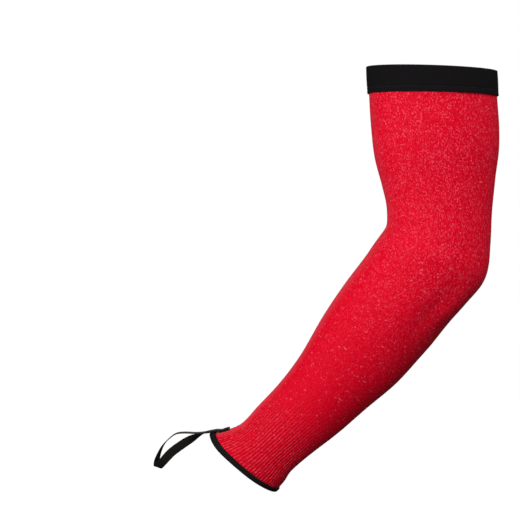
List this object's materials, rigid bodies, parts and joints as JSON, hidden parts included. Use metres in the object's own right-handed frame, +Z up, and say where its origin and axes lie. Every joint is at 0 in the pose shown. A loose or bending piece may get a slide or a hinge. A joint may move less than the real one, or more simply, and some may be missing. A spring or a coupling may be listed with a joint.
{
  "type": "cut resistant sleeve",
  "caption": "Knitted work sleeve for one arm, bent as worn, with an elastic upper arm band, a ribbed and bound wrist and an elastic thumb loop.",
  "frame": {"origin": "middle of the elastic band, on the axis of the upper arm", "axes": "+Z up the upper arm and out of its opening, +X from the crook of the elbow towards the elbow, -Y towards the viewer of the front"},
  "size_m": [0.3475, 0.1174, 0.428],
  "materials": {
    "knit": "heathered cut resistant knit, matt",
    "band_elastic": "woven elastic, matt black",
    "binding": "knitted elastic binding, matt black",
    "loop_elastic": "flat braided elastic, matt black"
  },
  "bodies": {
    "root": {"sleeve_knit": "knit", "upper_band": "band_elastic", "wrist_binding": "binding", "thumb_loop": "loop_elastic"}
  },
  "joints": []
}
